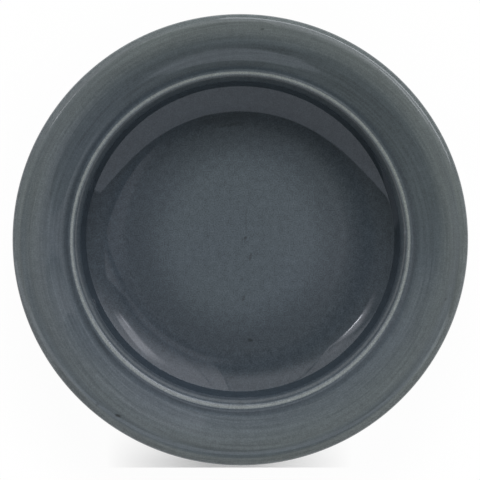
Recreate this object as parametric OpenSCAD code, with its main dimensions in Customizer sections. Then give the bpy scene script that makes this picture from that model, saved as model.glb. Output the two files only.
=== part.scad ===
// Rimmed soup plate, thrown on the wheel: a clay body with a turned foot ring, one
// coat of glaze over the face and the back, and a patch of glaze inside the foot.
// Millimetres, +Z up. The origin is the middle of the plane that the foot rests on.

/* [Rim] */
// Diameter over the glazed lip
plate_d = 240; // [234:1:264]
// Width of the rounding from the crest of the rim to the lip
lip_w = 5.1; // [4:0.1:6.5]
// Radius of the rounding beside the crest
lip_r = 8; // [7:0.5:14]
// Radius of the nose under the lip
nose_r = 2; // [1.4:0.1:2.6]
// Slope of the rim at its steepest, in degrees
rim_slope = 14.5; // [10:0.1:18]
// Radius of the dome over which the rim levels out to its crest
dome_r = 44; // [35:1:54]
// Slope of the rim's underside, in degrees
under_slope = 9.5; // [6:0.5:12]

/* [Ridge] */
// Diameter of the ridge between the rim and the well
ridge_d = 178.3; // [168:0.1:182]
// Radius of the ridge's crest
ridge_r = 2.4; // [1.8:0.1:3.4]
// Distance from the ridge's crest to the lowest line of the gutter outside it
gutter_w = 1.9; // [1.4:0.1:2.6]
// Radius of the gutter beside the ridge
gutter_r = 6; // [4:0.5:9]
// Radius over which the rim rises out of the gutter
rim_root_r = 15; // [10:0.5:18]

/* [Well] */
// Depth from the ridge's crest down to the floor
well_depth = 23; // [19.5:0.5:32]
// Width of the sloping flank between the ridge and the brow of the wall
flank_w = 1.85; // [1.2:0.05:3]
// Slope of the flank, in degrees
flank_slope = 46; // [36:1:54]
// Radius of the brow, where the flank turns down into the wall
brow_r = 5; // [3.6:0.1:6]
// Slope of the wall, in degrees
wall_slope = 82; // [74:1:85]
// Radius of the cove where the wall meets the dished part
cove_r = 1.5; // [1.2:0.1:3]
// Slope at which the dished part meets the cove, in degrees
dish_slope = 24.5; // [18:0.5:30]
// Radius of the dished part round the flat floor
dish_r = 62; // [45:0.5:75]

/* [Clay] */
// Thickness of the floor over the foot recess
floor_t = 5.5; // [4.5:0.1:8]
// Thickness of the wall
wall_t = 5; // [4.5:0.1:7]
// Radius of the hollow between the wall and the rim's underside
shoulder_r = 6; // [3.5:0.5:8]

/* [Foot] */
// Diameter of the middle of the foot ring
foot_d = 128; // [116:1:138]
// Width of the flat that the foot rests on
foot_flat_w = 5; // [3:0.5:8]
// Depth of the recess inside the foot ring
foot_h = 4; // [3.6:0.1:6]
// Slope of the foot ring's sides, in degrees
foot_slope = 78; // [70:1:84]
// Radius of the foot's two edges
foot_edge_r = 1.2; // [0.6:0.1:1.6]
// Radius of the hollow where the recess meets the foot
recess_r = 2; // [1:0.1:2.2]
// Height above the table at which the foot's outer side turns into the back
instep_h = 2.6; // [2.2:0.1:4]
// Radius of the hollow where the foot meets the back
instep_r = 3; // [2:0.5:5]

/* [Glaze] */
// Thickness of the glaze on an even surface
coat_t = 0.5; // [0.35:0.05:0.7]
// Height above the table at which the glaze ends on both sides of the foot
bare_h = 1.7; // [1.5:0.1:1.9]

/* [Hidden] */

// Shares of coat_t: the glaze runs thin off the edges and gathers in the hollows
even_share = 1;
crest_share = 0.6;
brow_share = 0.9;
rim_crest_share = 0.85;
lip_share = 0.6;
gutter_share = 1.1;
cove_share = 1.5;
back_share = 0.8;
glaze_end_share = 0.4;

// Largest share that a curve may take of the room that its neighbours leave for it
room_share = 0.95;

glaze_colour = [0.34, 0.38, 0.41];
clay_colour = [0.55, 0.50, 0.45];

// Largest turn, in degrees, of one piece of an arc
arc_step = 5;
$fn = 180;

// A station is [x, z, heading, coat]: a point of the outline, the direction of
// travel in degrees from +X towards +Z, and the share of glaze that lies on it.
function last(path) = path[len(path) - 1];
function place(station) = [station[0], station[1]];
function ahead(heading) = [cos(heading), sin(heading)];
function left_of(heading) = [-sin(heading), cos(heading)];
function backwards(path) = [for (i = [len(path) - 1 : -1 : 0]) path[i]];
function without_last(path) = [for (i = [0 : len(path) - 2]) path[i]];

// The way that an arc of radius r covers while it turns from heading a to b
function arc_way(r, a, b) = sign(b - a) * r * (left_of(a) - left_of(b));

// How far to go along heading a and then along heading b, to cover the way t
function legs(t, a, b) =
    [t.x * sin(b) - t.y * cos(b), t.y * cos(a) - t.x * sin(a)] / sin(b - a);

// From 0 to 1 with a level start and end
function eased(u) = (1 - cos(180 * u)) / 2;

// The stations of one step from station s. A step is [length, coat] for a straight
// run, or [radius, heading, coat] for an arc that turns to a heading.
function straight(s, step) =
    let (to = place(s) + step[0] * ahead(s[2]))
    [[to.x, to.y, s[2], step[1]]];
function arc(s, step) =
    let (turn = step[1] - s[2], pieces = ceil(abs(turn) / arc_step))
    [for (i = [1 : pieces])
        let (
            heading = s[2] + turn * i / pieces,
            to = place(s) + arc_way(step[0], s[2], heading),
            coat = s[3] + (step[2] - s[3]) * eased(i / pieces)
        )
        [to.x, to.y, heading, coat]];
function walk(path, steps, i = 0) =
    i == len(steps) ? path :
    walk(concat(path, len(steps[i]) == 2 ? straight(last(path), steps[i])
                                         : arc(last(path), steps[i])), steps, i + 1);

// The points of a path, and the points of the glaze that covers it on one side:
// side is 1 on the face, where the glaze lies to the left, and -1 on the back.
function clay_points(path) = [for (s = path) place(s)];
function glaze_points(path, side) =
    [for (s = path) place(s) + side * coat_t * s[3] * left_of(s[2])];

// Face, from the middle of the floor out to the lip
floor_z = foot_h + floor_t;
ridge_x = ridge_d / 2;
lip_x = plate_d / 2 - coat_t * lip_share;
flank_run = flank_w / cos(flank_slope);
well_way = [ridge_x, well_depth] - arc_way(dish_r, 0, dish_slope)
    - arc_way(cove_r, dish_slope, wall_slope) - arc_way(brow_r, wall_slope, flank_slope)
    - flank_run * ahead(flank_slope) - arc_way(ridge_r, flank_slope, 0);
well_legs = legs(well_way, 0, wall_slope);
floor_run = well_legs[0];
wall_run = well_legs[1];
gutter_slope = asin(gutter_w / (ridge_r + gutter_r));
rim_w = lip_x - lip_w - ridge_x - gutter_w;
rim_curves_w = (rim_root_r + dome_r) * sin(rim_slope);
rim_fit_share = min(1, room_share * rim_w / rim_curves_w);
rim_run = (rim_w - rim_fit_share * rim_curves_w) / cos(rim_slope);
lip_slope = asin((lip_w - nose_r) / (lip_r - nose_r));

face = walk([[0, floor_z, 0, even_share]], [
    [floor_run, even_share],
    [dish_r, dish_slope, even_share],
    [cove_r, wall_slope, cove_share],
    [wall_run, even_share],
    [brow_r, flank_slope, brow_share],
    [flank_run, brow_share],
    [ridge_r, 0, crest_share],
    [ridge_r, -gutter_slope, even_share],
    [gutter_r, 0, gutter_share],
    [rim_root_r * rim_fit_share, rim_slope, even_share],
    [rim_run, even_share],
    [dome_r * rim_fit_share, 0, rim_crest_share],
    [lip_r, -lip_slope, lip_share]
]);

// Inside of the foot, from the middle of the recess to the end of its glaze
foot_edge_way = arc_way(foot_edge_r, -foot_slope, 0);
foot_in = [foot_d / 2 - foot_flat_w / 2, 0];
recess_fit_r = min(recess_r, room_share * (foot_h - bare_h) / (1 - cos(foot_slope)));
recess_legs = legs(foot_in - [0, foot_h] - arc_way(recess_fit_r, 0, -foot_slope)
    - foot_edge_way, 0, -foot_slope);
bare_run = (bare_h + foot_edge_way.y) / sin(foot_slope);
recess = walk([[0, foot_h, 0, even_share]], [
    [recess_legs[0], even_share],
    [recess_fit_r, -foot_slope, back_share],
    [recess_legs[1] - bare_run, glaze_end_share]
]);

// Bare clay, from there round the resting face to the end of the back's glaze
foot = walk([last(recess)], [
    [bare_run, 0],
    [foot_edge_r, 0, 0],
    [foot_flat_w, 0],
    [foot_edge_r, foot_slope, 0],
    [bare_run, glaze_end_share]
]);

// Back, from there up the heel and the shoulder to the lip. The heel is turned
// about the same centre as the cove, so the wall keeps its thickness round it, and
// the straight part of the back is the tangent from the instep to the heel.
heel_r = cove_r + wall_t;
heel_middle = [0, floor_z] + [floor_run, 0] + arc_way(dish_r, 0, dish_slope)
    + cove_r * left_of(dish_slope);
heel_end = heel_middle - heel_r * left_of(wall_slope);
foot_side_run = (instep_h - bare_h) / sin(foot_slope);
instep_middle = place(last(foot)) + foot_side_run * ahead(foot_slope)
    - instep_r * left_of(foot_slope);
to_heel = heel_middle - instep_middle;
back_slope = atan2(to_heel.y, to_heel.x) - asin((instep_r + heel_r) / norm(to_heel));
back_run = to_heel * ahead(back_slope);
// The shoulder is a fillet between the wall and the rim's underside.
shoulder_way = place(last(face)) - heel_end
    - arc_way(nose_r, under_slope, 180 - lip_slope);
shoulder_room = legs(shoulder_way, wall_slope, under_slope)[0];
shoulder_fit_r = min(shoulder_r,
    room_share * shoulder_room / tan((wall_slope - under_slope) / 2));
shoulder_legs = legs(shoulder_way - arc_way(shoulder_fit_r, wall_slope, under_slope),
    wall_slope, under_slope);
back = walk([last(foot)], [
    [foot_side_run, back_share],
    [instep_r, back_slope, even_share],
    [back_run, back_share],
    [heel_r, wall_slope, back_share],
    [shoulder_legs[0], back_share],
    [shoulder_fit_r, under_slope, even_share],
    [shoulder_legs[1], back_share],
    [nose_r, 180 - lip_slope, lip_share]
]);

// One ring of clay points round the whole section
module clay_body() {
    color(clay_colour)
        rotate_extrude()
            polygon(concat(clay_points(without_last(face)), clay_points(backwards(back)),
                clay_points(backwards(without_last(foot))),
                clay_points(backwards(without_last(recess)))));
}

// The glaze over the face, the lip and the back, between its outside and the clay
module glaze_coat() {
    color(glaze_colour)
        rotate_extrude()
            polygon(concat(glaze_points(without_last(face), 1),
                glaze_points(backwards(back), -1),
                clay_points(back),
                clay_points(backwards(without_last(face)))));
}

// The glaze on the roof of the recess and a little way down the foot
module foot_recess_glaze() {
    color(glaze_colour)
        rotate_extrude()
            polygon(concat(clay_points(recess), glaze_points(backwards(recess), -1)));
}

clay_body();
glaze_coat();
foot_recess_glaze();
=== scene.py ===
# %% [markdown]
# # A rimmed soup plate
# The real plate is stoneware, thrown on the wheel: a wide domed rim, a raised ridge, a
# steep wall down to a dished floor, and a foot ring turned on the back. It is dipped in a
# slate blue-grey glaze, which runs thin and pale over the ridge and gathers dark in the
# hollows. This lesson draws the clay and the glaze as outlines, turns them about the
# plate's axis, gives them their finishes, and photographs them from above. Outlines are
# in millimetres, and everything after them in Blender's metres. Photo-up is +Y, and the
# plate lies flat on its foot, with +Z up out of the well.

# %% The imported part
import math

import bpy
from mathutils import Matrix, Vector


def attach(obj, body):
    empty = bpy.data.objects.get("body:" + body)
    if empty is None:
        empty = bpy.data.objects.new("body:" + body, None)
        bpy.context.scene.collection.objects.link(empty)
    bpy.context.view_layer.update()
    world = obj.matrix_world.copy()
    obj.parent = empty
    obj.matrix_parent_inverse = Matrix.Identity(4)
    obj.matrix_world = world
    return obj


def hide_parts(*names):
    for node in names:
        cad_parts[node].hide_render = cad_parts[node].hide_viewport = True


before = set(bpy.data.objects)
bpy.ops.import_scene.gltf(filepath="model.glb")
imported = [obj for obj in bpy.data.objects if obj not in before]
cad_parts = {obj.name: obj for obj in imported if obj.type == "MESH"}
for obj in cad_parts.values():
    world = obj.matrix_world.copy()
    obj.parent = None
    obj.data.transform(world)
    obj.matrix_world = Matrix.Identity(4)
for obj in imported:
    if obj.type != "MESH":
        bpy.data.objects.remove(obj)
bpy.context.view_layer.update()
MM = 0.001
print("solids to dress:", sorted(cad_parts))

# %% [markdown]
# ## The outline as a walk
# A potter's rib leaves curves that flow into each other. The outline of the plate could
# be drawn point by point, but then each change of one size would break the flow. So a
# small walker draws it: it stands on a station with a heading, and goes a straight
# length or turns along an arc. Each arc starts where the last step ended, in the same
# direction, so every join is smooth. A station also carries three things about the glaze:
# how thick its coat is, how thin and pale it has run (or, below zero, how dark it has
# pooled), and how clearly the brush shows in it.

# %% The walker
ARC_STEP = 2.5  # largest turn between two stations, in degrees
LONG_STEP = 1.5  # largest distance between two stations
CARRIED = ("coat", "thin", "brush")


def ahead(heading):
    return Vector((math.cos(math.radians(heading)), math.sin(math.radians(heading))))


def left_of(heading):
    return ahead(heading + 90)


def arc_way(radius, start, end):
    return math.copysign(radius, end - start) * (left_of(start) - left_of(end))


def legs(way, first, second):
    """How far to go along two headings, one after the other, to cover a way."""
    a, b = ahead(first), ahead(second)
    cross = a.x * b.y - a.y * b.x
    return (way.x * b.y - way.y * b.x) / cross, (way.y * a.x - way.x * a.y) / cross


def station(place, heading, coat=1.0, thin=0.0, brush=1.0):
    return {"place": Vector(place), "heading": heading, "coat": coat, "thin": thin, "brush": brush}


def eased(a, b, u):
    return a + (b - a) * (1 - math.cos(math.pi * u)) / 2


def walk(path, *steps):
    """Adds steps to a path: go=length or turn=(radius, heading), each with the glaze that it reaches."""
    path = list(path)
    for step in steps:
        here = path[-1]
        start = here["heading"]
        radius, end = step.get("turn", (0, start))
        length = step["go"] if "go" in step else radius * math.radians(abs(end - start))
        pieces = math.ceil(max(abs(end - start) / ARC_STEP, length / LONG_STEP, 1))
        for i in range(1, pieces + 1):
            u = i / pieces
            heading = start + (end - start) * u
            way = length * u * ahead(start) if "go" in step else arc_way(radius, start, heading)
            glaze = {key: eased(here[key], step.get(key, here[key]), u) for key in CARRIED}
            path.append(station(here["place"] + way, heading, **glaze))
    return path


quarter = walk([station((0, 0), 0)], {"turn": (10, 90)})
print("a quarter turn of radius 10 ends at", tuple(quarter[-1]["place"]))

# %% [markdown]
# ## The face
# From the middle of the floor out to the lip: a flat floor, the dish, a tight cove, the
# steep wall, a brow, the sloping flank up to the ridge, the gutter behind the ridge, and
# the rim, which rises in a slight S and domes over to the lip. Every length could be
# typed, but then one changed slope would leave the ridge in the wrong place. So two
# runs are worked out instead: the floor and the wall are as long as it takes to arrive
# at the ridge.

# %% Sizes of the face
PLATE_D, RIDGE_D = 240, 178.3
FLOOR_Z, WELL_DEPTH = 9.5, 23
COAT = 0.5
LIP_W, LIP_R, NOSE_R, LIP_COAT = 5.1, 8, 2, 0.6
RIDGE_R, GUTTER_W, GUTTER_R, ROOT_R, DOME_R = 2.4, 1.9, 6, 15, 44
FLANK_W, FLANK_SLOPE, BROW_R = 1.85, 46, 5
WALL_SLOPE, COVE_R, DISH_SLOPE, DISH_R = 82, 1.5, 24.5, 62
RIM_SLOPE = 14.5
RIM_SWELL = 0.48  # degrees: the rim's stretch between its curves is that much steeper in its middle, and flatter at its ends

flank_run = FLANK_W / math.cos(math.radians(FLANK_SLOPE))
well_way = (
    Vector((RIDGE_D / 2, WELL_DEPTH)) - arc_way(DISH_R, 0, DISH_SLOPE)
    - arc_way(COVE_R, DISH_SLOPE, WALL_SLOPE) - arc_way(BROW_R, WALL_SLOPE, FLANK_SLOPE)
    - flank_run * ahead(FLANK_SLOPE) - arc_way(RIDGE_R, FLANK_SLOPE, 0)
)
floor_run, wall_run = legs(well_way, 0, WALL_SLOPE)
gutter_slope = math.degrees(math.asin(GUTTER_W / (RIDGE_R + GUTTER_R)))
lip_x = PLATE_D / 2 - COAT * LIP_COAT
rim_w = lip_x - LIP_W - RIDGE_D / 2 - GUTTER_W
rim_curves_w = (ROOT_R + DOME_R) * math.sin(math.radians(RIM_SLOPE))
rim_run = (rim_w - rim_curves_w) / math.cos(math.radians(RIM_SLOPE))
lip_slope = math.degrees(math.asin((LIP_W - NOSE_R) / (LIP_R - NOSE_R)))
print(f"floor {floor_run:.1f} mm, wall {wall_run:.1f} mm, rim {rim_run:.1f} mm")
print(f"lip slope {lip_slope:.1f} degrees")

# %% The face's stations
CALM_FLOOR = 0.55  # share of the floor's length over which its glaze stays even
swell_r = rim_run / 2 / math.radians(2 * RIM_SWELL)
face = walk(
    [station((0, FLOOR_Z), 0, thin=-0.02, brush=0.12)],
    {"go": floor_run * CALM_FLOOR},
    {"go": floor_run * (1 - CALM_FLOOR), "thin": -0.46, "brush": 0.2},
    {"turn": (DISH_R, 12), "thin": -0.64, "brush": 0.12},
    {"turn": (DISH_R, 17), "thin": -0.53},
    {"turn": (DISH_R, DISH_SLOPE), "thin": -0.5},
    {"turn": (COVE_R, WALL_SLOPE), "coat": 1.5, "thin": -0.8, "brush": 0.1},
    {"go": wall_run, "coat": 1},
    {"turn": (BROW_R, 65), "coat": 0.95, "thin": -0.65},
    {"turn": (BROW_R, FLANK_SLOPE), "coat": 0.9, "thin": -0.35, "brush": 0.4},
    {"go": flank_run, "thin": -0.2},
    # The ridge is pale where thin glaze shows; the sharp pale peak on its inner side is partly a painted
    # highlight
    {"turn": (RIDGE_R, FLANK_SLOPE * 0.7), "coat": 0.7, "thin": 0.4, "brush": 0.2},
    {"turn": (RIDGE_R, FLANK_SLOPE * 0.25), "coat": 0.6, "thin": 0.92},
    {"turn": (RIDGE_R, 0), "thin": 0.75},
    {"turn": (RIDGE_R, -gutter_slope), "coat": 1, "thin": -0.1, "brush": 0.5},
    {"turn": (GUTTER_R, 0), "coat": 1.1, "thin": -0.45, "brush": 0.8},
    {"turn": (ROOT_R, RIM_SLOPE - RIM_SWELL), "coat": 1, "thin": 0.05, "brush": 1},
    {"turn": (swell_r, RIM_SLOPE + RIM_SWELL), "thin": 0.08},
    {"turn": (swell_r, RIM_SLOPE - RIM_SWELL), "thin": 0.1},
    {"turn": (DOME_R, 0), "coat": 0.85, "thin": 0.22},
    {"turn": (LIP_R, -lip_slope * 0.55), "thin": 0.3},
    {"turn": (LIP_R, -lip_slope), "coat": LIP_COAT, "thin": 0.55, "brush": 0.5},
)
ridge_place = Vector((RIDGE_D / 2, FLOOR_Z + WELL_DEPTH))
ridge_miss = min((s["place"] - ridge_place).length for s in face)
print(len(face), "stations; the ridge is missed by", f"{ridge_miss:.6f} mm, and the lip ends at",
      [round(v, 2) for v in face[-1]["place"]])

# %% [markdown]
# ## The foot and the back
# The foot ring was turned from leather-hard clay: two steep sides, a flat that stands on
# the table and small rounded edges. It was wiped clean of glaze, so bare clay shows
# there. The back leaves the foot in a small hollow, runs straight to the heel, turns up
# the wall and rolls out under the rim to the lip. It could be the face moved down by one
# thickness, but a turner trims it with straight cuts of its own. So it is a walk too,
# and only the heel shares its centre with the cove above it.

# %% Sizes of the foot
FOOT_D, FOOT_FLAT_W, FOOT_H, FOOT_SLOPE = 128, 5, 4, 78
EDGE_R, RECESS_R, INSTEP_H, INSTEP_R, BARE_H = 1.2, 2, 2.6, 3, 1.7
EVEN_COAT, END_COAT, END_THIN = 0.8, 0.4, 0.6  # the glaze on the back, and where it was wiped off

edge_way = arc_way(EDGE_R, -FOOT_SLOPE, 0)
foot_in = Vector((FOOT_D / 2 - FOOT_FLAT_W / 2, 0))
steep = math.sin(math.radians(FOOT_SLOPE))
recess_run, recess_side = legs(
    foot_in - Vector((0, FOOT_H)) - arc_way(RECESS_R, 0, -FOOT_SLOPE) - edge_way, 0, -FOOT_SLOPE
)
bare_run = (BARE_H + edge_way.y) / steep
recess = walk(
    [station((0, FOOT_H), 0)],
    {"go": recess_run},
    {"turn": (RECESS_R, -FOOT_SLOPE), "coat": EVEN_COAT},
    {"go": recess_side - bare_run, "coat": END_COAT, "thin": END_THIN},
)
foot = walk(
    [recess[-1]],
    {"go": bare_run, "coat": 0},
    {"turn": (EDGE_R, 0)},
    {"go": FOOT_FLAT_W},
    {"turn": (EDGE_R, FOOT_SLOPE)},
    {"go": bare_run, "coat": END_COAT, "thin": END_THIN},
)
print(f"the foot stands on r {foot_in.x:.1f} to {foot_in.x + FOOT_FLAT_W:.1f} mm")

# %% The back's stations
WALL_T, SHOULDER_R, UNDER_SLOPE = 5, 6, 9.5

heel_middle = (
    Vector((floor_run, FLOOR_Z)) + arc_way(DISH_R, 0, DISH_SLOPE) + COVE_R * left_of(DISH_SLOPE)
)
heel_r = COVE_R + WALL_T
foot_side_run = (INSTEP_H - BARE_H) / steep
instep_middle = foot[-1]["place"] + foot_side_run * ahead(FOOT_SLOPE) - INSTEP_R * left_of(FOOT_SLOPE)
to_heel = heel_middle - instep_middle
back_slope = math.degrees(
    math.atan2(to_heel.y, to_heel.x) - math.asin((INSTEP_R + heel_r) / to_heel.length)
)
shoulder_way = (
    face[-1]["place"] - (heel_middle - heel_r * left_of(WALL_SLOPE))
    - arc_way(NOSE_R, UNDER_SLOPE, 180 - lip_slope) - arc_way(SHOULDER_R, WALL_SLOPE, UNDER_SLOPE)
)
outer_wall_run, under_run = legs(shoulder_way, WALL_SLOPE, UNDER_SLOPE)
back = walk(
    [foot[-1]],
    {"go": foot_side_run, "coat": EVEN_COAT, "thin": 0},
    {"turn": (INSTEP_R, back_slope), "coat": 1, "thin": -0.4},
    {"go": to_heel.dot(ahead(back_slope)), "coat": EVEN_COAT, "thin": 0},
    {"turn": (heel_r, WALL_SLOPE)},
    {"go": outer_wall_run},
    {"turn": (SHOULDER_R, UNDER_SLOPE), "coat": 1, "thin": -0.3},
    {"go": under_run, "coat": EVEN_COAT, "thin": 0.08},
    {"turn": (NOSE_R, 180 - lip_slope), "coat": LIP_COAT, "thin": 0.45, "brush": 0.5},
)
lip_miss = (back[-1]["place"] - face[-1]["place"]).length
print(len(back), "stations; the back misses the lip by", f"{lip_miss:.6f} mm")

# %% [markdown]
# ## Closed outlines
# The clay is a solid, and the glaze is a skin that melted onto it, thin on the edges and
# thick in the hollows. A skin could be a sheet with a Solidify modifier, but that gives
# one thickness everywhere. So each piece gets an outline of its own, which starts and
# ends on the axis, and its surface of revolution is closed. The clay goes once round the
# section. The glaze goes over the face and the back at its own thickness, and returns
# along the clay. An outline is a chain of vertices, and each vertex remembers what the
# glaze is like there and whether it lies on the face.

# %% Outlines as chains of vertices
REMEMBERED = ("thin", "brush", "face")


def skin(path, side):
    """The glaze's outside over a path: side is 1 on the face and -1 on the back."""
    return [{
        "place": s["place"] + side * COAT * s["coat"] * left_of(s["heading"]),
        "thin": s["thin"], "brush": s["brush"], "face": max(side, 0),
    } for s in path]


def bare(path):
    """The clay's surface over a path."""
    return [{"place": s["place"], "thin": 0.0, "brush": 1.0, "face": 0} for s in path]


def backwards(path):
    return path[::-1]


def thinned(path, every=3):
    """A side that lies hidden under another needs few stations."""
    return path[:1] + path[1:-1:every] + path[-1:]


def chain(name, points):
    """One outline as a mesh of vertices and edges, in metres, with what each vertex remembers."""
    mesh = bpy.data.meshes.new(name)
    places = [(p["place"].x * MM, 0, p["place"].y * MM) for p in points]
    mesh.from_pydata(places, [(i, i + 1) for i in range(len(points) - 1)], [])
    for key in REMEMBERED:
        values = [p[key] for p in points]
        mesh.attributes.new(key, "FLOAT", "POINT").data.foreach_set("value", values)
    piece = bpy.data.objects.new(name, mesh)
    bpy.context.scene.collection.objects.link(piece)
    length = sum((b["place"] - a["place"]).length for a, b in zip(points, points[1:]))
    print(name, "outline:", len(points), "stations,", round(length, 1), "mm long")
    return piece


# The line on which the glaze lies on the clay is the same for both
covered_face, covered_back, covered_recess = thinned(face[:-1]), thinned(back), thinned(recess)
print("covered stations:", len(covered_face), len(covered_back), len(covered_recess))

# %% [markdown]
# ## Turned on the wheel
# The wheel is the rule behind the whole shape. A Screw modifier could turn an outline
# too, but it would turn a perfect circle and lose what the vertices remember. So
# Geometry Nodes turn each outline into a solid. A grid gets one column for each station
# and one row for each step of the turn. Every vertex looks up its station and moves to
# that radius, height and angle. The same tree gives the plate the slight oval that it
# took when it was lifted off the wheel. The seam and the poles are then welded.

# %% Helpers for node trees
def add_node(tree, kind, values=None, **settings):
    """Adds a node, with settings of the node and values or links for its inputs by name or place."""
    made = tree.nodes.new(kind)
    for key, value in settings.items():
        setattr(made, key, value)
    for key, value in (values or {}).items():
        socket = made.inputs[key]
        if isinstance(value, bpy.types.NodeSocket):
            tree.links.new(value, socket)
        else:
            socket.default_value = value
    return made


def maths(tree, operation, *values):
    return add_node(tree, "ShaderNodeMath", dict(enumerate(values)), operation=operation).outputs[0]


def add_sockets(tree, side, **sockets):
    """Named inputs or outputs of a tree, as name=kind or name=(kind, default)."""
    for name, kind in sockets.items():
        kind, value = kind if isinstance(kind, tuple) else (kind, None)
        socket = tree.interface.new_socket(name=name, in_out=side, socket_type="NodeSocket" + kind)
        if value is not None:
            socket.default_value = value


# %% The wheel as a node tree
WELD = 0.000001  # metres: vertices closer than this become one


def make_wheel():
    tree = bpy.data.node_groups.new("turned_on_the_wheel", "GeometryNodeTree")
    add_sockets(tree, "INPUT", outline="Geometry", turn_steps=("Int", 216), oval=("Float", 0.0),
                finish="Material")
    add_sockets(tree, "OUTPUT", turned="Geometry")
    given = tree.nodes.new("NodeGroupInput").outputs
    outline = given["outline"]
    size = add_node(tree, "GeometryNodeAttributeDomainSize", {"Geometry": outline})
    stations = size.outputs["Point Count"]
    rows = maths(tree, "ADD", given["turn_steps"], 1)
    grid = add_node(tree, "GeometryNodeMeshGrid", {"Vertices X": stations, "Vertices Y": rows})
    index = tree.nodes.new("GeometryNodeInputIndex").outputs[0]
    column = maths(tree, "FLOOR", maths(tree, "DIVIDE", maths(tree, "ADD", index, 0.5), rows))
    row = maths(tree, "SUBTRACT", index, maths(tree, "MULTIPLY", column, rows))
    angle = maths(tree, "MULTIPLY", maths(tree, "DIVIDE", row, given["turn_steps"]), math.tau)

    def looked_up(source, kind="FLOAT"):
        """What the outline holds at the station of this vertex."""
        return add_node(tree, "GeometryNodeSampleIndex",
                        {"Geometry": outline, "Value": source, "Index": column},
                        data_type=kind, domain="POINT").outputs[0]

    flat = looked_up(tree.nodes.new("GeometryNodeInputPosition").outputs[0], "FLOAT_VECTOR")
    place = add_node(tree, "ShaderNodeVectorRotate", {"Vector": flat, "Angle": angle},
                     rotation_type="Z_AXIS").outputs[0]
    squeeze = add_node(tree, "ShaderNodeCombineXYZ", {
        "X": 1.0, "Y": maths(tree, "SUBTRACT", 1.0, given["oval"]), "Z": 1.0}).outputs[0]
    place = add_node(tree, "ShaderNodeVectorMath", {0: place, 1: squeeze}, operation="MULTIPLY").outputs[0]

    mesh = grid.outputs["Mesh"]
    for name in REMEMBERED:
        kept = add_node(tree, "GeometryNodeInputNamedAttribute", {"Name": name},
                        data_type="FLOAT").outputs[0]
        mesh = add_node(tree, "GeometryNodeStoreNamedAttribute",
                        {"Geometry": mesh, "Name": name, "Value": looked_up(kept)},
                        data_type="FLOAT", domain="POINT").outputs[0]
    mesh = add_node(tree, "GeometryNodeSetPosition", {"Geometry": mesh, "Position": place}).outputs[0]
    mesh = add_node(tree, "GeometryNodeMergeByDistance", {"Geometry": mesh, "Distance": WELD}).outputs[0]
    mesh = add_node(tree, "GeometryNodeSetShadeSmooth", {"Geometry": mesh}).outputs[0]
    mesh = add_node(tree, "GeometryNodeRealizeInstances", {"Geometry": mesh}).outputs[0]
    mesh = add_node(tree, "GeometryNodeSetMaterial",
                    {"Geometry": mesh, "Material": given["finish"]}).outputs[0]
    tree.links.new(mesh, tree.nodes.new("NodeGroupOutput").inputs["turned"])
    return tree


wheel = make_wheel()
print(wheel.name, "has", len(wheel.nodes), "nodes")


# %% Turning one outline
def turned(piece, **values):
    """Turns an outline into a plain mesh. Values are set by their sockets' identifiers first."""
    modifier = piece.modifiers.new("wheel", "NODES")
    modifier.node_group = wheel
    for item in wheel.interface.items_tree:
        if item.item_type == "SOCKET" and item.in_out == "INPUT" and item.name in values:
            modifier[item.identifier] = values[item.name]
    solid = bpy.data.meshes.new_from_object(piece.evaluated_get(bpy.context.evaluated_depsgraph_get()))
    piece.modifiers.remove(modifier)
    piece.data = solid
    solid.name = piece.name
    solid.calc_loop_triangles()
    volume = sum(
        Vector(solid.vertices[a].co).dot(Vector(solid.vertices[b].co).cross(solid.vertices[c].co))
        for a, b, c in (t.vertices for t in solid.loop_triangles)
    ) / 6
    print(f"{piece.name}: {len(solid.loop_triangles)} triangles, {volume / MM**3 / 1000:.1f} cm3")
    return piece


# %% [markdown]
# ## Effects that the finishes share
# The clay and the glaze both show that they were turned: streaks run round the plate.
# Both also carry grains, iron specks in the clay that bleed through the glaze. They
# could be drawn in each material again, but then the two finishes would drift apart. So
# each effect is a node group of its own, with named inputs, and each finish uses it with
# its own values.

# %% Helpers for shader trees
def make_group(name, inputs, outputs):
    tree = bpy.data.node_groups.new(name, "ShaderNodeTree")
    add_sockets(tree, "INPUT", **inputs)
    add_sockets(tree, "OUTPUT", **outputs)
    return tree, tree.nodes.new("NodeGroupInput").outputs, tree.nodes.new("NodeGroupOutput").inputs


def on_object(tree):
    return tree.nodes.new("ShaderNodeTexCoord").outputs["Object"]


def split(tree, vector):
    return add_node(tree, "ShaderNodeSeparateXYZ", {0: vector}).outputs


def length_of(tree, x, y):
    squares = (maths(tree, "MULTIPLY", v, v) for v in (x, y))
    return maths(tree, "POWER", maths(tree, "ADD", *squares), 0.5)


def spread(tree, value, low, high, to_low=0.0, to_high=1.0, how="LINEAR"):
    """Stretches a value from low to high into a new range, and holds it there."""
    return add_node(tree, "ShaderNodeMapRange", {
        "Value": value, "From Min": low, "From Max": high, "To Min": to_low, "To Max": to_high,
    }, interpolation_type=how).outputs[0]


# %% Brush streaks
NEAR_AXIS = 0.0001  # metres: nothing is divided by a smaller radius


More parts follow.
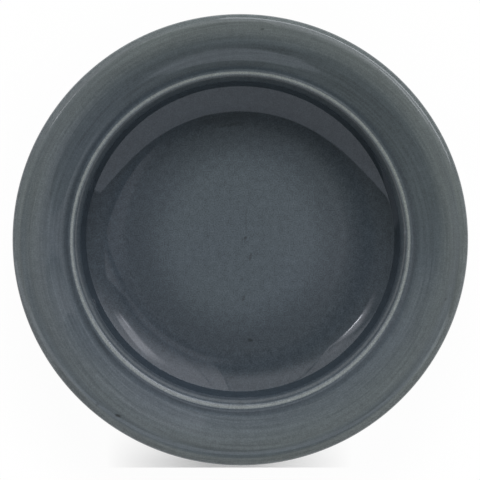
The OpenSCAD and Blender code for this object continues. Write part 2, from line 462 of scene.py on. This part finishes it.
def make_brush_streaks():
    """Streaks that go round the plate, about a middle that lies a little off its axis."""
    tree, given, result = make_group(
        "brush_streaks",
        {"off_x": ("Float", 0.0), "off_y": ("Float", 0.0), "across": ("Float", 500.0),
         "round": ("Float", 3.0), "seed": ("Float", 0.0), "detail": ("Float", 3.0)},
        {"streak": "Float"})
    at = split(tree, on_object(tree))
    x = maths(tree, "SUBTRACT", at[0], given["off_x"])
    y = maths(tree, "SUBTRACT", at[1], given["off_y"])
    radius = maths(tree, "MAXIMUM", length_of(tree, x, y), NEAR_AXIS)
    around = [maths(tree, "MULTIPLY", maths(tree, "DIVIDE", v, radius), given["round"]) for v in (x, y)]
    depth = maths(tree, "ADD", maths(tree, "MULTIPLY", radius, given["across"]),
                  maths(tree, "MULTIPLY", at[2], given["across"]))
    noise = add_node(tree, "ShaderNodeTexNoise", {
        "Vector": add_node(tree, "ShaderNodeCombineXYZ", {0: around[0], 1: around[1], 2: depth}).outputs[0],
        "W": given["seed"], "Scale": 1.0, "Detail": given["detail"], "Roughness": 0.6,
    }, noise_dimensions="4D").outputs[0]
    tree.links.new(noise, result["streak"])
    return tree


streaks = make_brush_streaks()
print(streaks.name, "has", len(streaks.nodes), "nodes")

# %% Grains
SCATTER = 0.9  # how far the grains lie from a regular grid
SMALLEST, CORE = 0.4, 0.4  # share of the largest grain, and share of a grain that is full


def make_grains():
    """Round grains: size is a share of the cell, and few is the share of cells that hold none."""
    tree, given, result = make_group(
        "grains", {"cell": ("Float", 0.006), "size": ("Float", 0.2), "few": ("Float", 0.8)},
        {"grain": "Float"})
    cells = add_node(tree, "ShaderNodeTexVoronoi", {
        "Vector": on_object(tree), "Scale": maths(tree, "DIVIDE", 1.0, given["cell"]),
        "Randomness": SCATTER})
    chance = add_node(tree, "ShaderNodeSeparateColor", {0: cells.outputs["Color"]}).outputs
    wanted = maths(tree, "GREATER_THAN", chance[0], given["few"])
    share = maths(tree, "ADD", SMALLEST, maths(tree, "MULTIPLY", chance[1], 1 - SMALLEST))
    reach = maths(tree, "MULTIPLY", given["size"], share)
    near = spread(tree, cells.outputs["Distance"], reach, maths(tree, "MULTIPLY", reach, CORE),
                  how="SMOOTHSTEP")
    tree.links.new(maths(tree, "MULTIPLY", near, wanted), result["grain"])
    return tree


grains = make_grains()
print(grains.name, "has", len(grains.nodes), "nodes")


# %% One spot
def make_spot():
    """One long round-ended spot with a soft edge, at a place and turned by some degrees."""
    tree, given, result = make_group(
        "spot",
        {"at_x": ("Float", 0.0), "at_y": ("Float", 0.0), "length": ("Float", 0.002),
         "width": ("Float", 0.001), "turn": ("Float", 0.0), "soft": ("Float", 0.6)},
        {"spot": "Float"})
    at = split(tree, on_object(tree))
    from_spot = add_node(tree, "ShaderNodeCombineXYZ", {
        "X": maths(tree, "SUBTRACT", at[0], given["at_x"]),
        "Y": maths(tree, "SUBTRACT", at[1], given["at_y"])})
    turned_back = add_node(tree, "ShaderNodeVectorRotate", {
        "Vector": from_spot.outputs[0], "Angle": maths(tree, "MULTIPLY", given["turn"], -math.pi / 180),
    }, rotation_type="Z_AXIS").outputs[0]
    own = split(tree, turned_back)
    shares = [maths(tree, "DIVIDE", own[i], maths(tree, "MULTIPLY", given[size], 0.5))
              for i, size in enumerate(("length", "width"))]
    near = spread(tree, length_of(tree, *shares), maths(tree, "ADD", 1.0, given["soft"]),
                  maths(tree, "SUBTRACT", 1.0, given["soft"]), how="SMOOTHSTEP")
    tree.links.new(near, result["spot"])
    return tree


spot = make_spot()
print(spot.name, "has", len(spot.nodes), "nodes")

# %% [markdown]
# ## Slate glaze
# One glaze makes the colours of this plate, and painted light and shade are laid into
# it. Where it runs thin over an edge the clay lightens it to a pale grey green, on an
# even surface it is slate, and where it pools it is ink blue. The colours could be
# painted on as rings, but they would stay behind when a size changes. So the colour
# follows the thin value that the outline carries, through one ramp. On the +Y side the
# inner part of the rim is darker and its outer part paler, which is painted shade and
# painted light from that side, and on the -Y side a darker line lies along the rim's
# crest. Over that lie brush streaks, a fine speckle, an olive cast where the flame
# touched the plate, a lavender cast away from it, a few iron spots, and two dark marks
# of painted shade at the top of the dish. The glaze is glassy: a plain shader with a
# low roughness mirrors the lamps crisply.

# %% Helpers for finishes
NOISE_RANGE = (0.3, 0.7)  # a noise seldom leaves it


def tint(red, green, blue):
    """A colour as a paint chart gives it, from 0 to 255, made linear for the shader."""
    def linear(v):
        v /= 255
        return v / 12.92 if v <= 0.04045 else ((v + 0.055) / 1.055) ** 2.4
    return (linear(red), linear(green), linear(blue), 1)


def mixed(tree, how, factor, first, second):
    made = add_node(tree, "ShaderNodeMix", {0: factor, 6: first, 7: second},
                    data_type="RGBA", blend_type=how)
    made.clamp_factor = True
    return made.outputs[2]


def placed_group(tree, group, **values):
    made = tree.nodes.new("ShaderNodeGroup")
    made.node_tree = group
    for key, value in values.items():
        made.inputs[key].default_value = value
    return made.outputs[0]


def drift(tree, scale, seed, detail=2.0):
    """A slow change over the piece: scale is how many of its waves go into a metre."""
    return add_node(tree, "ShaderNodeTexNoise", {
        "Vector": on_object(tree), "W": seed, "Scale": scale, "Detail": detail,
    }, noise_dimensions="4D").outputs[0]


def remembered(tree, name):
    return add_node(tree, "ShaderNodeAttribute", attribute_name=name).outputs["Fac"]


def shaded(tree, colour, value, low, high, weight):
    """Multiplies a colour by a grey from low to high as a noise goes through its range."""
    level = spread(tree, value, *NOISE_RANGE, low, high)
    grey = add_node(tree, "ShaderNodeCombineColor", {0: level, 1: level, 2: level}).outputs[0]
    return mixed(tree, "MULTIPLY", weight, colour, grey)


def new_finish(name):
    """A new material, with its tree and its shader."""
    finish = bpy.data.materials.new(name)
    finish.use_nodes = True
    return finish, finish.node_tree, finish.node_tree.nodes["Principled BSDF"]


def grooved(tree, shader, lines, strength, depth):
    """Lines as fine grooves, depth metres deep."""
    bump = add_node(tree, "ShaderNodeBump", {"Strength": strength, "Distance": depth, "Height": lines})
    tree.links.new(bump.outputs[0], shader.inputs["Normal"])


# %% The glaze's colours
INK, DEEP, SLATE = tint(32, 44, 54), tint(60, 67, 72), tint(75, 83, 88)
EVEN, BREAK = tint(87, 94, 97), tint(128, 134, 132)
# The dark of the iron spots, also used for painted shade at the top of the dish
IRON_AND_SHADE = tint(34, 36, 36)
GLAZE_RAMP = ((-1.0, INK), (-0.5, DEEP), (0.0, SLATE), (0.28, EVEN), (1.0, BREAK))  # by the thin value
OLIVE, LAVENDER = (1.02, 1.01, 0.96, 1), (0.99, 0.98, 1.06, 1)
STREAK_GREY, SPECKLE_GREY, CLOUD_GREY = (0.82, 1.18), (0.73, 1.27), (0.88, 1.12)
SPECKLE_SCALE, CLOUD_SCALE = 1500, 300
BRUSHED_OUT = 0.45  # share of the speckle and the clouds that a full brush mark hides
GLOSS = (0.03, 0.06)  # roughness between the brush streaks and on them
print("the glaze goes from", [round(v, 3) for v in INK[:3]], "to", [round(v, 3) for v in BREAK[:3]])

# %% Painted light and shade on the rim, a dark crest line, and where the flame and the smoke went
FLAME_SIDE, SMOKE_SIDE, PAINTED_LIGHT_SIDE, DARK_CREST_SIDE = (0.5, 1.0), (-0.8, -0.6), (-0.1, 1.0), (0.2, -1.0)
FLAME_HEIGHT = (0.0338, 0.0362)  # metres up: the flame reached the outer part of the rim all round
# Painted shade on the inner part of the rim and painted light on its outer part, on the +Y side
PAINTED_LIGHT_HEIGHT, PAINTED_LIGHT_THIN = (0.0354, 0.0367), (-0.4, 0.12)  # metres up, and what is added to the thin value
# A darker line along the rim's crest, on the -Y side
DARK_CREST_HEIGHT, DARK_CREST_THIN = (0.0366, 0.0369), (0.1, -0.62)
CAST_RISE, CAST_SPAN = 8, (-0.6, 1.2)  # how fast a cast grows across the plate, and from where to where
EDGE_SCALE, EDGE_DRIFT = 12, 3.0  # how fine and how strong the wander of a cast's edge is

# Iron spots on the face, the last two rows painted shade atop the dish: place, length, width and turn in
# millimetres and degrees, and strength
IRON_SPOTS_AND_SHADE_MARKS = (
    (-64.3, -91.9, 3.2, 1.5, -20, 0.8),
    (-75.1, -85.9, 1.8, 1.6, 0, 0.35),
    (11.6, 110.6, 1.6, 0.9, 10, 0.5),
    (72.3, 90.1, 1.4, 0.8, 50, 0.4),
    (73.6, 88.2, 1.0, 0.7, 0, 0.3),
    (107.6, -30.7, 1.5, 0.9, 70, 0.4),
    (2.7, 0.4, 1.8, 1.3, 30, 0.5),
    (5.4, -9.8, 4.2, 1.3, 80, 0.35),
    (1.0, -21.7, 1.6, 1.1, 0, 0.2),
    (1.8, -32.0, 3.2, 1.5, 75, 0.35),
    (5.3, -54.2, 3.0, 1.5, -20, 0.6),
    (3.2, 9.5, 15, 1.0, 90, 0.15),
    (-38.6, -3.2, 1.0, 0.8, 0, 0.3),
    # Painted shade, not iron: a dark line and a dark band across the top of the dish, where the key's shadow
    # falls
    (-6, 60.6, 16, 1.5, 8, 0.3),
    (-8, 65.2, 44, 6, 8, 0.25),
)


def cast(tree, side, seed):
    """From 0 to 1 towards one side of the plate, with a drifting edge."""
    slope = (side[0] * CAST_RISE, side[1] * CAST_RISE, 0)
    way = add_node(tree, "ShaderNodeVectorMath", {0: on_object(tree), 1: slope}, operation="DOT_PRODUCT")
    edge = maths(tree, "SUBTRACT", drift(tree, EDGE_SCALE, seed), 0.5)
    wandering = maths(tree, "ADD", way.outputs["Value"], maths(tree, "MULTIPLY", edge, EDGE_DRIFT))
    return spread(tree, wandering, *CAST_SPAN)


def thinness(tree, height, brush):
    """The thin value that the outline carries, with painted light and shade on the rim towards +Y and a
    darker crest line towards -Y.
    """
    # Painted shade on the inner rim and painted light on the outer rim, towards +Y
    painted_light = spread(tree, height, *PAINTED_LIGHT_HEIGHT, *PAINTED_LIGHT_THIN)
    painted_light = maths(tree, "MULTIPLY", cast(tree, PAINTED_LIGHT_SIDE, 5.0), painted_light)
    # A darker line along the rim's crest, towards -Y
    dark_crest = spread(tree, height, *DARK_CREST_HEIGHT, *DARK_CREST_THIN)
    dark_crest = maths(tree, "MULTIPLY", cast(tree, DARK_CREST_SIDE, 6.0), dark_crest)
    moved = maths(tree, "MULTIPLY", maths(tree, "ADD", painted_light, dark_crest), brush)
    return maths(tree, "ADD", remembered(tree, "thin"), moved)


def iron_and_shade_marks(tree):
    """How strongly the iron spots and the two marks of painted shade show, on the face only."""
    marks = 0.0
    for x, y, length, width, turn, strength in IRON_SPOTS_AND_SHADE_MARKS:
        mark = placed_group(tree, spot, at_x=x * MM, at_y=y * MM, length=length * MM, width=width * MM,
                            turn=turn)
        marks = maths(tree, "MAXIMUM", maths(tree, "MULTIPLY", mark, strength), marks)
    return maths(tree, "MULTIPLY", marks, remembered(tree, "face"))


print(len(IRON_SPOTS_AND_SHADE_MARKS), "iron spots")


# %% The glaze as a material
def make_slate_glaze():
    finish, tree, shader = new_finish("slate_glaze")
    brush = remembered(tree, "brush")
    height = split(tree, on_object(tree))[2]
    ramp = add_node(tree, "ShaderNodeValToRGB", {0: spread(tree, thinness(tree, height, brush), -1, 1)})
    while len(ramp.color_ramp.elements) < len(GLAZE_RAMP):
        ramp.color_ramp.elements.new(0.5)
    for stop, (thin, tone) in zip(ramp.color_ramp.elements, GLAZE_RAMP):
        stop.position, stop.color = (thin + 1) / 2, tone
    colour = ramp.outputs[0]
    warm = maths(tree, "MAXIMUM", cast(tree, FLAME_SIDE, 2.0), spread(tree, height, *FLAME_HEIGHT))
    colour = mixed(tree, "MULTIPLY", maths(tree, "MULTIPLY", warm, brush), colour, OLIVE)
    colour = mixed(tree, "MULTIPLY", cast(tree, SMOKE_SIDE, 7.0), colour, LAVENDER)
    streak = placed_group(tree, streaks, off_x=0.004, off_y=-0.003, across=600, round=1.6, seed=1)
    colour = shaded(tree, colour, streak, *STREAK_GREY, brush)
    calm = maths(tree, "SUBTRACT", 1.0, maths(tree, "MULTIPLY", brush, BRUSHED_OUT))
    colour = shaded(tree, colour, drift(tree, SPECKLE_SCALE, 4.0, 1.0), *SPECKLE_GREY, calm)
    colour = shaded(tree, colour, drift(tree, CLOUD_SCALE, 9.0, 3.0), *CLOUD_GREY, calm)
    specks = placed_group(tree, grains, cell=0.012, size=0.05, few=0.8)
    colour = mixed(tree, "MIX", specks, colour, INK)
    # Iron spots, and painted shade at the top of the dish
    colour = mixed(tree, "MIX", iron_and_shade_marks(tree), colour, IRON_AND_SHADE)
    tree.links.new(colour, shader.inputs["Base Color"])
    tree.links.new(spread(tree, streak, *NOISE_RANGE, *GLOSS), shader.inputs["Roughness"])
    grooved(tree, shader, streak, 0.1, 0.00003)
    return finish


slate_glaze = make_slate_glaze()
print(slate_glaze.name, "has", len(slate_glaze.node_tree.nodes), "nodes")

# %% [markdown]
# ## Bare clay
# The foot ring was wiped before firing. Its clay is a warm grey brown, dull, with fine
# turning lines and a scatter of dark and pale grains. A plain brown would do from far
# away, but the foot is what a buyer turns the plate over for. So it gets the same
# streaks and grains as the glaze, finer and stronger.

# %% Bare clay as a material
BROWN, DARK_BROWN = (0.33, 0.26, 0.20, 1), (0.26, 0.21, 0.165, 1)
DARK_GRAIN, PALE_GRAIN = (0.09, 0.07, 0.055, 1), (0.5, 0.44, 0.37, 1)
DULL = (0.8, 0.92)  # roughness between the turning lines and on them


def make_fired_clay():
    finish, tree, shader = new_finish("fired_clay")
    colour = mixed(tree, "MIX", drift(tree, 60, 3.0, 4.0), BROWN, DARK_BROWN)
    dark = placed_group(tree, grains, cell=0.0014, size=0.3, few=0.75)
    pale = placed_group(tree, grains, cell=0.0009, size=0.35, few=0.8)
    colour = mixed(tree, "MIX", maths(tree, "MULTIPLY", dark, 0.7), colour, DARK_GRAIN)
    colour = mixed(tree, "MIX", maths(tree, "MULTIPLY", pale, 0.5), colour, PALE_GRAIN)
    tree.links.new(colour, shader.inputs["Base Color"])
    lines = placed_group(tree, streaks, across=2600, round=1.5, seed=4)
    tree.links.new(spread(tree, lines, *NOISE_RANGE, *DULL), shader.inputs["Roughness"])
    grooved(tree, shader, lines, 0.6, 0.0002)
    return finish


fired_clay = make_fired_clay()
print(fired_clay.name, "has", len(fired_clay.node_tree.nodes), "nodes")

# %% [markdown]
# ## The three pieces
# A fired plate is one body of clay, a coat of glaze over its face and back, and a patch
# of glaze in the foot's recess, with the wiped foot between them. They could be one mesh
# with two materials, but a glaze is a layer with a thickness and an end. So each is a
# closed solid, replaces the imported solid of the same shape, and rides on the part's
# one body.

# %% The clay body
THROWN = {"turn_steps": 216, "oval": 0.008}
clay_points = (
    bare(covered_face) + bare(backwards(covered_back))
    + bare(backwards(foot)[1:]) + bare(backwards(covered_recess)[1:])
)
clay = turned(chain("plate_clay", clay_points), finish=fired_clay, **THROWN)

# %% The glaze over the face and the back
glaze_points = (
    skin(face[:-1], 1) + skin(backwards(back), -1)
    + bare(covered_back) + bare(backwards(covered_face))
)
glaze = turned(chain("plate_glaze", glaze_points), finish=slate_glaze, **THROWN)

# %% The glaze in the recess
recess_points = bare(covered_recess) + skin(backwards(recess), -1)
recess_glaze = turned(chain("recess_glaze", recess_points), finish=slate_glaze, **THROWN)

# %% Each piece in its place
for piece, node, slot in ((clay, "clay_body", "fired_clay"), (glaze, "glaze_coat", "slate_glaze"),
                          (recess_glaze, "foot_recess_glaze", "slate_glaze")):
    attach(piece, "root")
    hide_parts(node)
    print(piece.name, "takes the place of", node)

# %% [markdown]
# ## The white sweep
# The plate stands on a white sheet that turns up far behind it. A plain white floor
# would need so much light that the glaze would wash out. So the floor gives its white by
# itself to whatever looks at it, the camera, mirrors and glass, and the lamps stay at a
# plain level. It loses that white where the plate's own shadow shows: under the plate,
# and in a dark strip at its lower edge, which the photograph shows.

# %% The floor's sizes
SWEEP_HALF, SWEEP_TALL = 8.0, 0.7  # metres: the floor reaches that far, and turns up there
FLOOR_DROP = 0.0001  # metres that the floor lies below the foot, so that they don't flicker
FLOOR_WHITE = (0.9, 0.9, 0.9, 1)
OPEN_GLOW, SHADE_GLOW = 0.96, 0.05  # how much of the floor's white it gives in the open and in the shade
UNDER_IN, UNDER_OUT = 0.102, 0.12  # metres from the middle, over which the shadow under the plate fades
STRIP_START, STRIP_FULL, STRIP_END = -0.101, -0.12, -0.1237  # metres along Y: the shadow's dark edge
STRIP_SOFT = 0.0003  # metres over which the strip ends
STRIP_MIDDLE, STRIP_IN, STRIP_OUT = -0.006, 0.01, 0.066  # along X, and to each side of there
print("the shadow's strip is", round((STRIP_START - STRIP_END) / MM, 1), "mm deep")


# %% The floor
def shade_on_floor(tree):
    """From 0 in the open to 1 in the plate's own shadow."""
    at = split(tree, on_object(tree))
    strip = maths(tree, "MULTIPLY", spread(tree, at[1], STRIP_START, STRIP_FULL),
                  spread(tree, at[1], STRIP_END - STRIP_SOFT, STRIP_END))
    beside = maths(tree, "ABSOLUTE", maths(tree, "SUBTRACT", at[0], STRIP_MIDDLE))
    strip = maths(tree, "MULTIPLY", strip, spread(tree, beside, STRIP_OUT, STRIP_IN))
    under = spread(tree, length_of(tree, at[0], at[1]), UNDER_OUT, UNDER_IN)
    return maths(tree, "MAXIMUM", strip, under)


def make_white_floor():
    finish = bpy.data.materials.new("white_floor")
    finish.use_nodes = True
    tree = finish.node_tree
    tree.nodes.clear()
    path = tree.nodes.new("ShaderNodeLightPath").outputs
    seen = path["Is Camera Ray"]
    for ray in ("Is Glossy Ray", "Is Transmission Ray"):
        seen = maths(tree, "MAXIMUM", seen, path[ray])
    share = spread(tree, shade_on_floor(tree), 0, 1, OPEN_GLOW, SHADE_GLOW)
    matt = add_node(tree, "ShaderNodeBsdfDiffuse", {"Color": FLOOR_WHITE}).outputs[0]
    glow = add_node(tree, "ShaderNodeEmission", {"Color": (1, 1, 1, 1), "Strength": 1.0}).outputs[0]
    both = add_node(tree, "ShaderNodeMixShader", {0: maths(tree, "MULTIPLY", seen, share), 1: matt, 2: glow})
    tree.links.new(both.outputs[0], tree.nodes.new("ShaderNodeOutputMaterial").inputs["Surface"])
    return finish


def make_floor():
    corners = [(x * SWEEP_HALF, y * SWEEP_HALF) for x, y in ((-1, -1), (1, -1), (1, 1), (-1, 1))]
    mesh = bpy.data.meshes.new("floor")
    mesh.from_pydata([(*corner, z) for z in (0, SWEEP_TALL) for corner in corners], [],
                     [(0, 1, 2, 3)] + [((i + 1) % 4, i, i + 4, (i + 1) % 4 + 4) for i in range(4)])
    mesh.materials.append(make_white_floor())
    floor = bpy.data.objects.new("floor", mesh)
    bpy.context.scene.collection.objects.link(floor)
    floor.location.z = -FLOOR_DROP
    return floor


floor = make_floor()
print(floor.name, "is", 2 * SWEEP_HALF, "m wide")

# %% [markdown]
# ## The room
# Glass and glaze need something to mirror on every side. A picture of a real room could
# give that, but it would bring its own colours. So the room is one even, dim white.

# %% The room as a world
ROOM = 0.09  # how bright the room looks beside a sheet of white lit by the lamps
world = bpy.data.worlds.new("studio")
world.use_nodes = True
bpy.context.scene.world = world
world.node_tree.nodes["Background"].inputs["Color"].default_value = (1, 1, 1, 1)
world.node_tree.nodes["Background"].inputs["Strength"].default_value = ROOM
print("the room's level is", ROOM)

# %% [markdown]
# ## The lamps
# The photograph shows the plate on edge on its white floor. Seen from the plate, which
# lies flat here, that floor is a white card that stands at its -Y side, a little turned
# and cut at its right end. It mirrors in the upper part of the dish as a dark grey
# crescent. Over the plate hang level sheets of light, whose soft near edges mirror in
# the lower part of the dish: four panels side by side, two glows and a window in front
# of them, two hazes, and the strobes, small and bright, which make the hot patch at the
# left and the glint at the right. A long edge light draws the line along the lip. One
# lamp could do both jobs, but then a brighter mirror would bleach the glaze. So these
# only mirror, and three others, the key, the side key and the fill, only light. A lamp
# is set by how bright it looks, and a helper works out its power from its area.

# %% A sheet of light
def softbox(name, at, towards, width, height, bright, colour=(1, 1, 1), mirrored=True, lights=True,
            roll=0, soft=None):
    """A lamp of width x height metres that looks as bright as a sheet of white lit to that level.

    soft is the share of the lamp over which it fades at its left, right, near and far edge."""
    lamp = bpy.data.lights.new(name, "AREA")
    lamp.shape = "RECTANGLE"
    lamp.size, lamp.size_y = width, height
    lamp.energy = bright * math.pi * width * height
    lamp.color = colour
    holder = bpy.data.objects.new(name, lamp)
    holder.location = at
    holder.rotation_euler = (Vector(towards) - Vector(at)).to_track_quat("-Z", "Y").to_euler()
    holder.rotation_euler.rotate_axis("Z", math.radians(roll))
    bpy.context.scene.collection.objects.link(holder)
    holder.visible_camera = False
    holder.visible_glossy = mirrored
    holder.visible_diffuse = lights
    if soft:
        soften(lamp, *soft)
    return holder


def soften(lamp, left, right, near, far):
    lamp.use_nodes = True
    tree = lamp.node_tree
    x, y, _ = split(tree, tree.nodes.new("ShaderNodeNewGeometry").outputs["Parametric"])
    level = 1.0
    for place, dark, full in ((x, 0, left), (x, 1, 1 - right), (y, 0, near), (y, 1, 1 - far)):
        if dark != full:
            level = maths(tree, "MULTIPLY", spread(tree, place, dark, full, how="SMOOTHSTEP"), level)
    tree.links.new(level, tree.nodes["Emission"].inputs["Strength"])


# %% Lamps that only mirror
PANEL_UP, HAZE_UP, STROBE_UP, SPARK_UP = 1.0, 0.99, 0.98, 0.97  # metres: at one height lamps hide each other
COOL, CARD_COLOUR = (0.94, 0.95, 1.03), (0.9, 0.97, 1.12)
CARD_FOOT, CARD_TALL, CARD_AWAY, CARD_ROLL = 0.17, 0.295, 0.125, 4
CARD_LEFT, CARD_RIGHT = -1.5, 0.3
WELL_MIDDLE = (0, 0, 0.03)


def sheet(name, left, right, near, far, bright, up=PANEL_UP, roll=0, soft=None):
    """A level sheet of light over the plate, between two places along X and two along Y."""
    at = ((left + right) / 2, (near + far) / 2)
    return softbox(name, (*at, up), (*at, 0), right - left, far - near, bright, COOL, lights=False,
                   roll=roll, soft=soft)


card_side = (CARD_LEFT + CARD_RIGHT) / 2 * ahead(CARD_ROLL)
card_middle = CARD_FOOT + CARD_TALL / 2 + card_side.y
mirrored_lamps = [
    softbox("white_card", (card_side.x, -CARD_AWAY, card_middle), (card_side.x, 1, card_middle),
            CARD_RIGHT - CARD_LEFT, CARD_TALL, 0.76, CARD_COLOUR, lights=False, roll=CARD_ROLL),
    sheet("panel_left", -1.4, -0.37, 0.40, 1.5, 1.0, soft=(0, 0, 0.11, 0)),
    sheet("panel_middle", -0.35, 0.06, 0.36, 1.5, 0.95, soft=(0, 0, 0.2, 0)),
    sheet("panel_seam", 0.066, 0.154, 0.12, 1.5, 1.45, soft=(0, 0, 0.35, 0)),
    sheet("panel_right", 0.158, 1.4, 0.1, 1.5, 1.6, soft=(0, 0, 0.34, 0)),
    sheet("glow_right", 0.102, 0.588, 0.05, 0.45, 0.6, roll=68, soft=(0.2, 0.2, 0, 0.7)),
    sheet("window_right", 0.018, 0.348, -0.189, 0.111, 0.44, roll=33, soft=(0.3, 0, 0, 0.6)),
    sheet("glow_left", -0.704, -0.254, 0.325, 0.575, 1.42, roll=28, soft=(0.25, 0.35, 0, 0.9)),
    sheet("haze_right", -0.03, 0.31, 0.08, 0.24, 0.45, HAZE_UP, roll=-27, soft=(0.3, 0.3, 0.4, 0.4)),
    sheet("haze_left", -0.76, -0.3, 0.26, 0.48, 0.9, HAZE_UP, roll=48, soft=(0.3, 0.3, 0.25, 0.6)),
    sheet("strobe_right", 0.255, 0.655, 0.34, 0.54, 2.4, STROBE_UP, roll=108, soft=(0.2, 0.5, 0.1, 0.3)),
    sheet("strobe_right_2", 0.415, 0.525, 0.278, 0.302, 3.5, SPARK_UP, roll=127, soft=(0.4, 0.3, 0.3, 0.3)),
    sheet("strobe_left", -0.485, -0.395, 0.326, 0.346, 12, STROBE_UP, roll=28, soft=(0, 0.5, 0.2, 0.3)),
    sheet("strobe_left_2", -0.545, -0.465, 0.285, 0.31, 14, STROBE_UP, roll=28, soft=(0.5, 0, 0.2, 0.3)),
    softbox("edge_light", (0.89, 1.37, 1.18), WELL_MIDDLE, 2.6, 0.36, 4, COOL, lights=False),
]
print("mirrored:", [(lamp.name, round(lamp.data.energy, 2)) for lamp in mirrored_lamps])

# %% Lamps that only light
lighting_lamps = [
    softbox("key", (0, 2.39, 1.66), WELL_MIDDLE, 2.0, 0.75, 19.3, mirrored=False),
    softbox("side_key", (2.05, 1.0, 1.73), WELL_MIDDLE, 2.0, 0.35, 8.6, mirrored=False),
    softbox("fill", (0, -0.6, 0.6), (0, 0, 0.1), 3.0, 0.9, 1.05, mirrored=False),
]
print("lighting:", [(lamp.name, round(lamp.data.energy, 2)) for lamp in lighting_lamps])

# %% [markdown]
# ## The camera
# The photograph looks almost straight into the well, from far away, so that the round
# of the rim stays nearly round. A wide lens close by would show the outside of the wall.
# So a long lens looks down from a metre and a half, tilted by a few degrees.

# %% The camera's place
LENS, SENSOR, DISTANCE, TILT = 213, 36, 1.490, 2.5
AIM = Vector((-0.00015, 0.00032, 0.034))
scene = bpy.context.scene
scene.view_settings.view_transform = "Standard"
camera = bpy.data.objects.new("camera", bpy.data.cameras.new("camera"))
scene.collection.objects.link(camera)
scene.camera = camera
camera.data.lens, camera.data.sensor_width = LENS, SENSOR
camera.location = AIM + DISTANCE * Vector((0, math.sin(math.radians(TILT)), math.cos(math.radians(TILT))))
camera.rotation_euler = (math.radians(-TILT), 0, 0)
camera.data.clip_end = 50  # metres
print("the camera is at", [round(v, 3) for v in camera.location])
